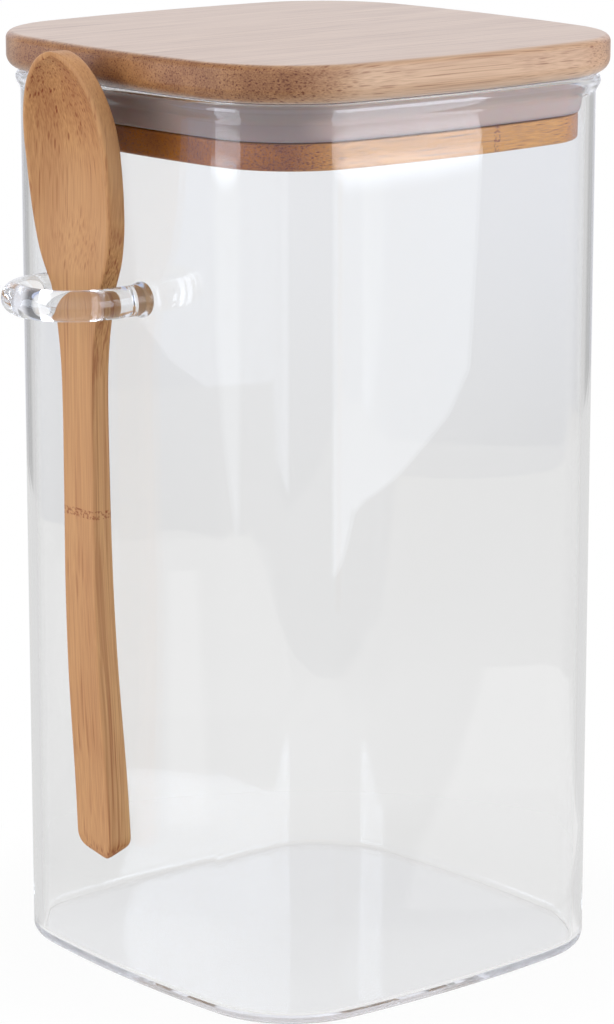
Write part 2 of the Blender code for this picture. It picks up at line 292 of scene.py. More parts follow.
# %% Make the board and the plug
LID_THICKNESS = 0.0078
LID_OVERHANG = 0.0029
LID_TOP_ROUND = 0.0016
LID_UNDER_ROUND = 0.0030
FLANGE_HEIGHT = 0.0055
FLANGE_OFFSET = -WALL - 0.0017
FLANGE_ROUND = 0.0007
NECK_OFFSET = FLANGE_OFFSET - 0.0036
RING_TOP = -SEAT_GAP
RING_BOTTOM = RING_TOP - 0.0077
FLANGE_TOP = RING_BOTTOM - SEAT_GAP
FLANGE_BOTTOM = FLANGE_TOP - FLANGE_HEIGHT
EDGE_EASE = 0.0003
MIDDLE_SHARES = (0.02, 0.35, 0.65, 0.85, 0.95)


def turned_solid(profile):
    """A solid with flat ends from a profile of (offset, height over the lid's underside)."""
    first, last = profile[0], profile[-1]
    sections = [crowned_square(first[0], LID_UNDERSIDE + first[1], share) for share in MIDDLE_SHARES]
    sections += [crowned_square(offset, LID_UNDERSIDE + height) for offset, height in profile]
    sections += [crowned_square(last[0], LID_UNDERSIDE + last[1], share) for share in reversed(MIDDLE_SHARES)]
    return loft(sections)


board_profile = arc((LID_OVERHANG - LID_UNDER_ROUND, LID_UNDER_ROUND), LID_UNDER_ROUND, -90, 0, 14)
board_profile += arc((LID_OVERHANG - LID_TOP_ROUND, LID_THICKNESS - LID_TOP_ROUND), LID_TOP_ROUND, 0, 90, 10)
board = finish_piece("lid_board_wood", turned_solid(board_profile), "lid_board", "lid")

plug_profile = arc((FLANGE_OFFSET - FLANGE_ROUND, FLANGE_BOTTOM + FLANGE_ROUND), FLANGE_ROUND, -90, 0, 8)
plug_profile += arc((FLANGE_OFFSET - EDGE_EASE, FLANGE_TOP - EDGE_EASE), EDGE_EASE, 0, 90, 4)
plug_profile += [(NECK_OFFSET, FLANGE_TOP), (NECK_OFFSET, RING_BOTTOM / 2), (NECK_OFFSET, -SEAT_GAP / 3)]
plug = finish_piece("lid_plug_wood", turned_solid(plug_profile), "lid_plug", "lid")

# %% [markdown]
# The ring is a thick band of silicone. It rounds in at the bottom, which leads it into the
# mouth, and its top flares into a thin lip that comes to lie on the rim. Its profile is
# closed, so the loft ends where it began, and the hole for the neck stays open.

# %% Make the ring
RING_BORE = NECK_OFFSET + SEAT_GAP
BAND_OFFSET = -WALL - 0.0008
BAND_TURN_IN = 0.0040
TURN_IN_STEPS = 14
LIP_ROOT = 0.0006


def ring_profile():
    """Rows of (offset, height over the lid's underside), once round the ring's section."""
    profile = [(RING_BORE, RING_TOP), (RING_BORE, RING_BOTTOM)]
    for step in range(TURN_IN_STEPS + 1):
        angle = math.pi / 2 * step / TURN_IN_STEPS
        offset = FLANGE_OFFSET + (BAND_OFFSET - FLANGE_OFFSET) * math.sin(angle)
        profile.append((offset, RING_BOTTOM + BAND_TURN_IN * (1 - math.cos(angle))))
    lip_radius = RIM_ROUND + SEAT_GAP
    lip_stop = 180 - math.degrees(math.asin(RIM_ROUND / lip_radius))
    profile.append((BAND_OFFSET, RING_TOP - RIM_ROUND - LIP_ROOT))
    return profile + arc((BEAD_PROUD - RIM_ROUND, RING_TOP - RIM_ROUND), lip_radius, 180, lip_stop, 10)


ring_sections = [crowned_square(offset, LID_UNDERSIDE + height) for offset, height in ring_profile()]
ring = finish_piece("ring_silicone", loft(ring_sections, ring=True), "seal_ring", "lid")

# %% [markdown]
# ## The spoon
#
# The spoon is cut and sanded from one length of bamboo. It could be sculpted, which would
# look as natural, but its neck has to wedge in the loop and its handle has to clear the wall.
# Level sections keep such measures: from a blunt end through a bar with eased edges, then the
# wide neck, and on to a hollow bowl with a belly behind. Each measure of the section follows
# its own smooth curve up the spoon. Subdivision rounds the edges that sandpaper rounds.

# %% Sizes of the spoon
SPOON_NECK = 0.0170 / 2 - SEAT_GAP
BOWL_LENGTH = 0.0502
TIP_LENGTH = 0.0200
BOWL_WIDTH = 0.0280
BOWL_THICKNESS = 0.0072
BOWL_EDGE = 0.0040
BOWL_HOLLOW = 0.0036
RIM_LAND = 0.0013
BOWL_LEAN = 0.0050
HANDLE_LENGTH = 0.1212
HANDLE_WIDTH = 0.0102
HANDLE_END_WIDTH = 0.0119
NECK_THICKNESS = 0.0042
END_THICKNESS = 0.0058
END_LENGTH = 0.0065
END_SLANT = 0.0024
END_FULLNESS = 2.8
SPOON_STANDOFF = 0.0040
SPOON_EDGE = 0.0004
SPOON_TILT = math.radians(0.6)
SPREAD_SHARES = ((0, 0), (0.04, 0.04), (0.13, 0.27), (0.23, 0.52), (0.43, 0.80), (0.70, 0.96), (1, 1))
LEAN_SHARES = ((0, 0), (0.14, 0.08), (0.28, 0.15), (0.42, 0.25), (0.56, 0.37), (0.70, 0.53), (1, 1))
DISH_SHARES = ((0, 0), (0.08, 0.06), (0.20, 0.38), (0.34, 0.76), (0.52, 1), (0.80, 1), (1, 1))
TAPER_SHARES = ((0, 1), (0.05, 0.56), (0.08, 0.34), (0.12, 0.15), (0.19, 0.03), (0.30, 0), (1, 0))
THICKEN_SHARES = ((0, 0), (0.15, 0.12), (0.36, 0.26), (0.55, 0.58), (0.75, 0.88), (1, 1))
STANDOFF_SHARES = ((0, 1), (0.20, 0.98), (0.38, 0.95), (0.50, 0.88), (0.62, 0.72), (0.88, 0.16), (1, 0))


def follow(shares, share):
    """A smooth curve through rows of (share of the way, share of the change)."""
    along = [row[0] for row in shares]
    change = [row[1] for row in shares]
    last = len(shares) - 1

    def slope(row):
        if row in (0, last):
            near = 1 if row == 0 else last
            return (change[near] - change[near - 1]) / (along[near] - along[near - 1])
        before, after = along[row] - along[row - 1], along[row + 1] - along[row]
        up, down = (change[row + 1] - change[row]) / after, (change[row] - change[row - 1]) / before
        return (before * up + after * down) / (before + after)

    row = max(index for index in range(last) if share >= along[index] or index == 0)
    span = along[row + 1] - along[row]
    part = min(max((share - along[row]) / span, 0), 1)
    start = (1 + 2 * part) * (1 - part) ** 2 * change[row] + part * (1 - part) ** 2 * span * slope(row)
    stop = part**2 * (3 - 2 * part) * change[row + 1] + part**2 * (part - 1) * span * slope(row + 1)
    return start + stop


print("half way to the bowl the neck has spread by", round(follow(SPREAD_SHARES, 0.5), 2))

# %% Make the spoon
HOLLOW_STEPS = 14
NOSE_STEPS = 10
SHAFT_STEPS = 36
BOWL_STEPS = 22
TIP_STEPS = 16
BLUNT = math.pi / 2 * 0.985


def bowl_section(height):
    """Measures of a section of the bowl: half width, side, middle, front, hollow, half hollow."""
    up = height / BOWL_LENGTH
    side_length = BOWL_LENGTH - TIP_LENGTH
    nose = max((height - side_length) / TIP_LENGTH, 0)
    nose_width = math.sqrt(1 - nose**2)
    spread = follow(SPREAD_SHARES, min(height / side_length, 1))
    full = SPOON_NECK + (BOWL_WIDTH / 2 - SPOON_NECK) * spread
    dish = follow(DISH_SHARES, up)
    front = SPOON_STANDOFF + NECK_THICKNESS + BOWL_LEAN * follow(LEAN_SHARES, up)
    side = NECK_THICKNESS + (BOWL_EDGE - NECK_THICKNESS) * dish
    middle = side + (BOWL_THICKNESS - BOWL_EDGE) * dish * nose_width
    hollow_nose = min(nose * TIP_LENGTH / (TIP_LENGTH - RIM_LAND), 1)
    hollow_width = math.sqrt(1 - hollow_nose**2)
    hollow = BOWL_HOLLOW * dish * hollow_width
    return full * nose_width, side, middle, front, hollow, (full - RIM_LAND) * hollow_width


def handle_section(height):
    """The same measures for the handle, and how far each part of its end is sanded up."""
    down = -height / HANDLE_LENGTH
    nose = max((-height - HANDLE_LENGTH + END_LENGTH) / END_LENGTH, 0)
    nose_width = (1 - nose**END_FULLNESS) ** (1 / END_FULLNESS)
    shaft = (HANDLE_WIDTH + (HANDLE_END_WIDTH - HANDLE_WIDTH) * down) / 2
    wide = shaft + (SPOON_NECK - shaft) * follow(TAPER_SHARES, down)
    deep = NECK_THICKNESS + (END_THICKNESS - NECK_THICKNESS) * follow(THICKEN_SHARES, down)
    side = deep * nose_width**0.5
    back = SEAT_GAP + (SPOON_STANDOFF - SEAT_GAP) * follow(STANDOFF_SHARES, down)
    half = wide * nose_width
    measures = (half, side, side, back + (deep + side) / 2, 0, half - RIM_LAND)
    return measures, (wide, deep, back + deep, END_SLANT * nose)


def spoon_section(height):
    """The points of one section, along its front to the right and back behind."""
    if height >= 0:
        half, side, middle, front, hollow, hollow_half = bowl_section(height)
        wide, deep, foremost, slant = half, side, front, 0
    else:
        (half, side, middle, front, hollow, hollow_half), sanded = handle_section(height)
        wide, deep, foremost, slant = sanded
    edge = min(SPOON_EDGE, half / 3, side / 3)
    hollow_half = min(max(hollow_half, half / 9), half - 2 * edge)
    points = [(-half, edge - front), (edge - half, -front)]
    for step in range(HOLLOW_STEPS + 1):
        # the steps are short at the rim, which keeps its crease crisp
        across = -math.cos(math.pi * step / HOLLOW_STEPS)
        points.append((hollow_half * across, hollow * (1 - across**2) - front))
    points += [(half - edge, -front), (half, edge - front)]
    points += [(half, side / 2 - front), (half, side - edge - front)]
    for step in range(HOLLOW_STEPS + 1):
        across = math.cos(math.pi * step / HOLLOW_STEPS)
        points.append(((half - edge) * across, side + (middle - side) * (1 - across**2) - front))
    points += [(-half, side - edge - front), (-half, side / 2 - front)]
    lean, rise = math.sin(SPOON_TILT), math.cos(SPOON_TILT)
    placed = []
    for x, y in points:
        z = height + slant * ((wide - x) / wide / 2 + (foremost + y) / deep)
        placed.append((LOOP_OFFSET + x * rise - z * lean, y - HALF_WIDTH, LOOP_HEIGHT + x * lean + z * rise))
    return placed


def spoon_heights():
    """The heights of the sections, close together at both ends and at the neck."""
    heights = []
    for step in range(NOSE_STEPS):
        nose = math.sin(BLUNT * (1 - step / NOSE_STEPS))
        heights.append(END_LENGTH * (1 - nose) - HANDLE_LENGTH)
    shaft_length = HANDLE_LENGTH - END_LENGTH
    for step in range(SHAFT_STEPS):
        share = step / SHAFT_STEPS
        heights.append(-shaft_length * (1 - share) ** (1 + share))
    side_length = BOWL_LENGTH - TIP_LENGTH
    heights += [side_length * step / BOWL_STEPS for step in range(BOWL_STEPS)]
    for step in range(TIP_STEPS + 1):
        heights.append(side_length + TIP_LENGTH * math.sin(BLUNT * step / TIP_STEPS))
    return heights


spoon_sections = [spoon_section(height) for height in spoon_heights()]
spoon = finish_piece("spoon_wood", loft(spoon_sections), "spoon", "spoon")
rounding = spoon.modifiers.new("sanded edges", "SUBSURF")
rounding.levels = 2
rounding.render_levels = 2

# %% [markdown]
# ## Tools for the materials
#
# Colours are written as sRGB hex values, the way they are read off a screen, and one
# function turns them to the linear values that the shaders work in. A material could be
# wired by hand in the shader editor. In a script, one call that adds a node, sets it and
# links it keeps each material readable from top to bottom.

# %% Colour and node helpers


def colour(code):
    """A linear colour from an sRGB hex value such as c89a6c."""
    channels = []
    for start in (0, 2, 4):
        value = int(code[start : start + 2], 16) / 255
        channels.append(value / 12.92 if value <= 0.04045 else ((value + 0.055) / 1.055) ** 2.4)
    return (*channels, 1.0)


def in_use(sockets, name=None):
    """The first socket that the node's settings leave in use, or the first of them with a name."""
    return next(socket for socket in sockets if socket.enabled and name in (None, socket.name))


def add_node(tree, kind, inputs=None, **settings):
    """Adds a node with its settings. An input is a value, or the node or the output that feeds it."""
    node = tree.nodes.new(kind)
    for name, value in settings.items():
        setattr(node, name, value)
    for name, value in (inputs or {}).items():
        socket = node.inputs[name] if isinstance(name, int) else in_use(node.inputs, name)
        if isinstance(value, bpy.types.Node):
            value = in_use(value.outputs)
        if isinstance(value, bpy.types.NodeSocket):
            tree.links.new(value, socket)
        else:
            socket.default_value = value
    return node


def empty_material(name):
    """A new material and its node tree, which is empty."""
    material = bpy.data.materials.new(name)
    material.use_nodes = True
    material.node_tree.nodes.clear()
    return material, material.node_tree


print("bamboo in linear light:", [round(value, 3) for value in colour("c89a6c")[:3]])

# %% [markdown]
# ## Borosilicate glass
#
# Clear laboratory and kitchen glass, blown and fire-polished: perfectly smooth, almost
# without colour, with an IOR of 1.47. It mirrors about 4 % at each surface, and since a look
# through the jar crosses four of them, what lies behind comes out a little grey.
#
# A clear shader with a weak gloss on it would render faster, but nothing would bend at the
# bead and the corners, and that is what shows that it is glass. So the light is really bent.
# Only for shadow rays and diffuse rays, a clear shader stands in. Real glass throws hardly
# any shadow, and a path tracer would need very many samples to bring lamp light through it.

# %% Make the glass
GLASS_IOR = 1.47
GLASS_COLOUR = "f6f6f6"
SHADOW_COLOUR = "f2f6f6"
glass, tree = empty_material("borosilicate_glass")
clear_wall = add_node(
    tree,
    "ShaderNodeBsdfPrincipled",
    {"Base Color": colour(GLASS_COLOUR), "Roughness": 0.0, "IOR": GLASS_IOR, "Transmission Weight": 1.0},
)
ray = add_node(tree, "ShaderNodeLightPath")
lamp_ray = add_node(
    tree,
    "ShaderNodeMath",
    {0: ray.outputs["Is Shadow Ray"], 1: ray.outputs["Is Diffuse Ray"]},
    operation="MAXIMUM",
)
let_through = add_node(tree, "ShaderNodeBsdfTransparent", {"Color": colour(SHADOW_COLOUR)})
glass_surface = add_node(tree, "ShaderNodeMixShader", {0: lamp_ray, 1: clear_wall, 2: let_through})
add_node(tree, "ShaderNodeOutputMaterial", {"Surface": glass_surface})
for piece in (jar, loop):
    piece.data.materials.append(glass)
print("glass on", jar.name, "and", loop.name)

# %% [markdown]
# ## Bamboo
#
# Bamboo is a grass. Its wall is pale soft tissue with bundles of hard, darker fibre that all
# run along the stem. The same solid shows in three ways: as dots where a surface cuts across
# the fibres, as long streaks where it runs along them, and as short dashes in between, as
# in the hollow of the spoon. A picture of bamboo could be wrapped round each piece, but its
# streaks would break off at the edges, and no cut would show dots. So the pattern is a solid
# one that the surfaces cut just as the tools cut the wood.
#
# The fibres wander a little, as the stem grew, and the spoon's blank was bent by steam. A
# bent mesh could carry its pattern along, but these pieces are made in place. So the place
# where the pattern is looked up is moved instead.

# %% Where the fibres run
WANDER = 0.0016
# a pattern's scale is in cycles for each metre, across the stem twice and then along it
SLOW_WANDER = (60, 60, 18)


def fibre_place(tree, straight, bend):
    """The place in the stem that the fibre at a place of the piece comes from."""
    slow = add_node(tree, "ShaderNodeMapping", {"Vector": straight, "Scale": SLOW_WANDER})
    wander = add_node(tree, "ShaderNodeTexNoise", {"Vector": slow, "Scale": 1.0})
    wander = add_node(
        tree, "ShaderNodeVectorMath", {0: wander.outputs["Color"], 1: (0.5, 0.5, 0.5)}, operation="SUBTRACT"
    )
    stem = add_node(
        tree,
        "ShaderNodeVectorMath",
        {0: wander, 1: (WANDER, WANDER, 0), 2: straight},
        operation="MULTIPLY_ADD",
    )
    if bend:
        low, high, most = bend
        level = add_node(tree, "ShaderNodeSeparateXYZ", {"Vector": straight}).outputs["Z"]
        moved = add_node(
            tree,
            "ShaderNodeMapRange",
            {"Value": level, "From Min": low, "From Max": high, "To Min": -most, "To Max": 0.0},
            interpolation_type="SMOOTHSTEP",
        )
        moved = add_node(tree, "ShaderNodeCombineXYZ", {"Y": moved})
        stem = add_node(tree, "ShaderNodeVectorMath", {0: stem, 1: moved}, operation="ADD")
    return stem


print("fibres wander by up to", WANDER / 2 * 1000, "mm to each side")

# %% [markdown]
# Each bundle is a long thin cell of a stretched Voronoi texture with a dark core, and smaller
# bundles lie between the large ones. Real ones are 0.3 to 0.5 mm thick, and are drawn a
# little coarser here so that they show. The soft tissue round them has fine streaks, and its
# tone changes slowly from strip to strip. Noise gives both, stretched along the stem.

# %% Fibre bundles and soft tissue
FIBRE_LENGTH = 0.045
BUNDLE_CORE, FINE_SIZE, FINE_CORE = 0.42, 0.52, 0.50
STREAK_PITCH, STREAK_LENGTH, STREAK_SHARE = 0.00030, 0.016, 0.20
STREAKS = (1 / STREAK_PITCH, 1 / STREAK_PITCH, 1 / STREAK_LENGTH)
SLOW_TONES, TONE_SHARE = (220, 220, 9), 0.14


def fibre_depth(tree, stem, bundle, strength, fine):
    """How dark the wood is at each place of the stem, from 0 to about 1."""
    depth = 0.0
    for size, core, share in ((1.0, BUNDLE_CORE, strength), (FINE_SIZE, FINE_CORE, strength * fine)):
        scale = (1 / (bundle[0] * size), 1 / (bundle[1] * size), 1 / FIBRE_LENGTH)
        cells = add_node(tree, "ShaderNodeMapping", {"Vector": stem, "Scale": scale})
        fibres = add_node(tree, "ShaderNodeTexVoronoi", {"Vector": cells, "Scale": 1.0})
        away = fibres.outputs["Distance"]
        dark_core = add_node(
            tree,
            "ShaderNodeMapRange",
            {"Value": away, "From Min": core * 0.4, "From Max": core, "To Min": 1.0, "To Max": 0.0},
            interpolation_type="SMOOTHSTEP",
        )
        chance = add_node(tree, "ShaderNodeSeparateColor", {"Color": fibres.outputs["Color"]})
        how_dark = add_node(
            tree,
            "ShaderNodeMapRange",
            {"Value": chance.outputs[0], "From Min": 0.1, "To Min": 0.2 * share, "To Max": share},
        )
        depth = add_node(
            tree, "ShaderNodeMath", {0: dark_core, 1: how_dark, 2: depth}, operation="MULTIPLY_ADD"
        )
    for scale, low, high, share in (
        (STREAKS, 0.30, 0.72, STREAK_SHARE),
        (SLOW_TONES, 0.30, 0.70, TONE_SHARE),
    ):
        stretched = add_node(tree, "ShaderNodeMapping", {"Vector": stem, "Scale": scale})
        streaks = add_node(tree, "ShaderNodeTexNoise", {"Vector": stretched, "Scale": 1.0, "Detail": 2.5})
        streaks = add_node(
            tree,
            "ShaderNodeMapRange",
            {"Value": streaks, "From Min": low, "From Max": high, "To Max": share},
            interpolation_type="SMOOTHSTEP",
        )
        depth = add_node(tree, "ShaderNodeMath", {0: streaks, 1: depth}, operation="ADD")
    return depth


print("fine streaks are", STREAK_PITCH * 1000, "mm apart and", STREAK_LENGTH * 1000, "mm long")

# %% [markdown]
# Two more marks come from the stem. On the side near its skin the fibres stand close
# together, in long dark lines, which show on the narrow side of the spoon. A knot, where a
# leaf grew round the stem, is a narrow band of small pits across the fibres. They could be
# painted on at the end, but added to the same depth they get the colour and the relief of
# the other grain.

# %% Skin lines and knots
SKIN_LINES = (1500, 1500, 7)
PIT_SCALE, PIT_DEPTH = 1500.0, 0.55
KNOT_REACH = 0.0009


def skin_lines(tree, stem, along, facing, skin, depth):
    """Adds the lines where a surface faces the skin, up to where they fade out."""
    low, high, most = skin
    below = add_node(
        tree,
        "ShaderNodeMapRange",
        {"Value": along, "From Min": low, "From Max": high, "To Min": most, "To Max": 0.0},
        interpolation_type="SMOOTHSTEP",
    )
    skin_side = add_node(
        tree,
        "ShaderNodeMapRange",
        {"Value": facing.outputs["X"], "From Min": 0.25, "From Max": 0.75, "To Max": below},
        interpolation_type="SMOOTHSTEP",
    )
    lines = add_node(tree, "ShaderNodeMapping", {"Vector": stem, "Scale": SKIN_LINES})
    lines = add_node(tree, "ShaderNodeTexNoise", {"Vector": lines, "Scale": 1.0, "Detail": 2.0})
    lines = add_node(
        tree,
        "ShaderNodeMapRange",
        {"Value": lines, "From Min": 0.50, "From Max": 0.60, "To Min": 0.4, "To Max": 3.2},
        interpolation_type="SMOOTHSTEP",
    )
    return add_node(tree, "ShaderNodeMath", {0: skin_side, 1: lines, 2: depth}, operation="MULTIPLY_ADD")


def knot(tree, stem, along, height, depth):
    """Adds a band of pits at one height of the stem."""
    near = add_node(tree, "ShaderNodeMath", {0: along, 1: height, 2: KNOT_REACH}, operation="COMPARE")
    pits = add_node(tree, "ShaderNodeTexNoise", {"Vector": stem, "Scale": PIT_SCALE, "Detail": 1.0})
    pits = add_node(
        tree,
        "ShaderNodeMapRange",
        {"Value": pits, "From Min": 0.46, "From Max": 0.62, "To Max": PIT_DEPTH},
    )
    return add_node(tree, "ShaderNodeMath", {0: near, 1: pits, 2: depth}, operation="MULTIPLY_ADD")


print("a knot is", KNOT_REACH * 2000, "mm high")

# %% [markdown]
# One depth drives all that the eye sees of the grain: where it is deep, the wood is darker,
# lies a little lower and is duller. A surface that cuts across the fibres drinks more oil,
# and looks darker and redder. Cut grain could be a second material on the ends, but then it
# would start at a hard line. Here it grows with how far the surface has turned. On the spoon
# only a surface that faces down gets it, so there it is also painted shade, on the upper part
# of the hollow.

# %% Put the bamboo together
GRAIN_RELIEF = 0.00010
DARK_GRAIN_DULLS = 0.16


def bamboo(
    name,
    pale,
    dark,
    end,
    turn,
    bundle,
    strength,
    ends="ABSOLUTE",
    cut=(0.10, 0.63),
    knots=(),
    skin=None,
    bend=None,
    fine=0.55,
    shine=0.42,
    coat=0.0,
):
    """Bamboo whose stem runs along the local Z that turn gives, with its skin towards +X.

    ends and cut say from which facing on a surface shows cut fibres. With ends MULTIPLY
    only a surface that faces down the stem gets them, which paints shade as well.
    knots are heights on the stem. skin and bend are rows of (from, to, how much). fine is
    the share of the smaller bundles.
    """
    material, tree = empty_material(name)
    place = add_node(tree, "ShaderNodeTexCoord")
    straight = add_node(tree, "ShaderNodeMapping", {"Vector": place.outputs["Object"], "Rotation": turn})
    facing = add_node(
        tree, "ShaderNodeMapping", {"Vector": place.outputs["Normal"], "Rotation": turn}, vector_type="VECTOR"
    )
    facing = add_node(tree, "ShaderNodeSeparateXYZ", {"Vector": facing})
    # with ends MULTIPLY this is how far a surface faces down the stem, and the darkening it drives is painted
    # shade
    upright = add_node(tree, "ShaderNodeMath", {0: facing.outputs["Z"], 1: -1.0}, operation=ends)
    cut_grain_and_shade = add_node(
        tree, "ShaderNodeMapRange", {"Value": upright, "From Min": cut[0], "From Max": cut[1]}
    )

    stem = fibre_place(tree, straight, bend)
    along = add_node(tree, "ShaderNodeSeparateXYZ", {"Vector": stem}).outputs["Z"]
    depth = fibre_depth(tree, stem, bundle, strength, fine)
    depth = add_node(tree, "ShaderNodeMath", {0: depth, 1: cut_grain_and_shade, 2: depth}, operation="MULTIPLY_ADD")
    if skin:
        depth = skin_lines(tree, stem, along, facing, skin, depth)
    for height in knots:
        depth = knot(tree, stem, along, height, depth)

    paint = add_node(
        tree,
        "ShaderNodeMix",
        {"Factor": depth, "A": colour(pale), "B": colour(dark)},
        data_type="RGBA",
        clamp_factor=True,
    )
    paint = add_node(
        tree,
        "ShaderNodeMix",
        {"Factor": cut_grain_and_shade, "A": paint, "B": colour(end)},
        data_type="RGBA",
        blend_type="MULTIPLY",
    )
    relief = add_node(
        tree, "ShaderNodeBump", {"Height": depth, "Strength": 0.4, "Distance": GRAIN_RELIEF}, invert=True
    )
    sheen = add_node(
        tree, "ShaderNodeMapRange", {"Value": depth, "To Min": shine, "To Max": shine + DARK_GRAIN_DULLS}
    )
    wood = add_node(
        tree,
        "ShaderNodeBsdfPrincipled",
        {
            "Base Color": paint,
            "Roughness": sheen,
            "Normal": relief,
            "IOR": 1.5,
            "Coat Weight": coat,
            "Coat Roughness": 0.28,
        },
    )
    add_node(tree, "ShaderNodeOutputMaterial", {"Surface": wood})
    return material


print("grain is", GRAIN_RELIEF * 1000, "mm deep")

# %% [markdown]
# The board is lacquered, and the clear coat over its grain has a soft pale sheen from above.
# The plug is only waxed and keeps a warm, deep tone. The spoon is oiled, so it is duller and
# redder. One picture for all three would be simpler, but each blank comes from another part
# of the stem's wall, so each gets its own size of bundle and its own colours.

# %% Bamboo for the board, the plug and the spoon
LYING = (math.pi / 2, 0, 0)
HANGING = (0, SPOON_TILT, 0)

board.data.materials.append(
    bamboo(
        "lid_bamboo",
        pale="d8b596",
        dark="7e4526",
        end="dec29c",
        turn=LYING,
        bundle=(0.00058, 0.00050),
        strength=0.48,
        shine=0.34,
        coat=0.75,
    )
)
plug.data.materials.append(
    bamboo(
        "plug_bamboo",
        pale="fab463",
        dark="8a401c",
        end="d6b790",
        turn=LYING,
        bundle=(0.00050, 0.00042),
        strength=0.56,
        knots=(0.0102,),
        shine=0.22,
    )
)
spoon.data.materials.append(
    bamboo(
        "spoon_bamboo",
        pale="d4a16f",
        dark="8a401d",
        end="faf2de",
        turn=HANGING,
        bundle=(0.00100, 0.00036),
        strength=0.33,
        # only surfaces that face down get the cut-grain tone: painted shade on the upper part of the hollow
        ends="MULTIPLY",
        cut=(0.00, 0.30),
        knots=(0.1035,),
        skin=(0.150, 0.180, 0.10),
        bend=(0.030, 0.105, 0.0021),
        fine=0.30,
    )
)
print("bamboo on", board.name, plug.name, spoon.name)

# %% [markdown]
# ## Silicone
#
# The ring is moulded from translucent silicone. It is soft and milky: light enters and
# spreads, so it shows no grain, a gentle sheen and a tint of the wood behind it. A real
# volume would be the exact way, but a slow and noisy one behind glass. Subsurface scattering
# gives the same soft look. The tint of the wood is painted into its colour, and so are light
# and shade: the side towards the right softbox is painted paler, the other sides deeper.

# %% Make silicone
CLOUD_SCALE = 90.0
CLOUD_SHARE = 0.25
# the deep tone is painted shade over most of the ring, the pale one painted light on its +X side; a cloud
# mottles between them
DEEP_MILK_IN_SHADE, PALE_MILK_IN_LIGHT = "b09a98", "dcc0bb"
SILICONE_IOR = 1.41
LIGHT_REACH = 0.003

silicone, tree = empty_material("silicone")
place = add_node(tree, "ShaderNodeTexCoord")
cloud = add_node(
    tree, "ShaderNodeTexNoise", {"Vector": place.outputs["Object"], "Scale": CLOUD_SCALE, "Detail": 2.0}
)
# painted light: the side towards the right softbox is painted paler, as if lit through, and the other sides
# deeper
facing = add_node(tree, "ShaderNodeSeparateXYZ", {"Vector": place.outputs["Normal"]})
painted_light_side = add_node(
    tree,
    "ShaderNodeMapRange",
    {"Value": facing.outputs["X"], "From Min": 0.80, "From Max": 1.0, "To Min": -0.10, "To Max": 0.75},
    interpolation_type="SMOOTHSTEP",
)
mottle_and_painted_light = add_node(
    tree, "ShaderNodeMath", {0: cloud, 1: CLOUD_SHARE, 2: painted_light_side}, operation="MULTIPLY_ADD"
)
# this colour carries painted light and shade, besides the cloudy mottle
milk = add_node(
    tree,
    "ShaderNodeMix",
    {"Factor": mottle_and_painted_light, "A": colour(DEEP_MILK_IN_SHADE), "B": colour(PALE_MILK_IN_LIGHT)},
    data_type="RGBA",
)
rubber = add_node(
    tree,
    "ShaderNodeBsdfPrincipled",
    {
        "Base Color": milk,
        "Roughness": 0.25,
        "IOR": SILICONE_IOR,
        "Subsurface Weight": 0.35,
        "Subsurface Scale": LIGHT_REACH,
    },
)
add_node(tree, "ShaderNodeOutputMaterial", {"Surface": rubber})
ring.data.materials.append(silicone)
print("silicone on", ring.name)

# %% [markdown]
# ## Table, background and lamps
#
# Glass is lit by what surrounds it. The background is white, so the jar's edges and bends
# are drawn by what is not white: the darker room below the edge of the table, which the
# upright walls mirror towards the camera. Two tall softboxes stand to the left and to the
# right. They light the wood, and each leaves one soft upright band on the glass. A panorama
# of a real studio could give all this at once, but here each bright and each dark place is a
# piece of its own that can be moved until the jar mirrors it where it should.
#
# The table is white for a straight look, with a faint shadow near the jar. For a mirrored
# look it glows dimmer, and brighter near the jar, in a painted pool of light that stands for
# its lit part. The walls mirror the border between it and the darker room, so that border has
# the curves of the photographed grey.

# %% The table
TABLE_FRONT = (
    (-0.45, -0.15), (-0.320, -0.312), (-0.277, -0.357), (-0.081, -0.470), (0.096, -0.482), (0.196, -0.404),
    (0.259, -0.266), (0.300, -0.150), (0.315, -0.041), (0.305, 0.040), (0.297, 0.110), (0.325, 0.151),
    (0.472, 0.267), (0.339, 0.418), (0.25, 0.60), (-0.40, 0.60), (-0.50, 0.20),
)
TABLE_DEPTH = 0.0001

bm = bmesh.new()
bm.faces.new([bm.verts.new((x, y, -TABLE_DEPTH)) for x, y in TABLE_FRONT])
table_mesh = bpy.data.meshes.new("table_top")
bm.to_mesh(table_mesh)
bm.free()
table = bpy.data.objects.new("table_top", table_mesh)
bpy.context.collection.objects.link(table)
print("table with", len(TABLE_FRONT), "corners")

# %% Ahead and behind, seen from the jar
ROOM_AZIMUTH = math.radians(50.0)
ROOM_WAY = (math.sin(ROOM_AZIMUTH), -math.cos(ROOM_AZIMUTH), 0)
ROOM_SIDE = (math.cos(ROOM_AZIMUTH), math.sin(ROOM_AZIMUTH), 0)
SIDE_CORNER = 0.0615


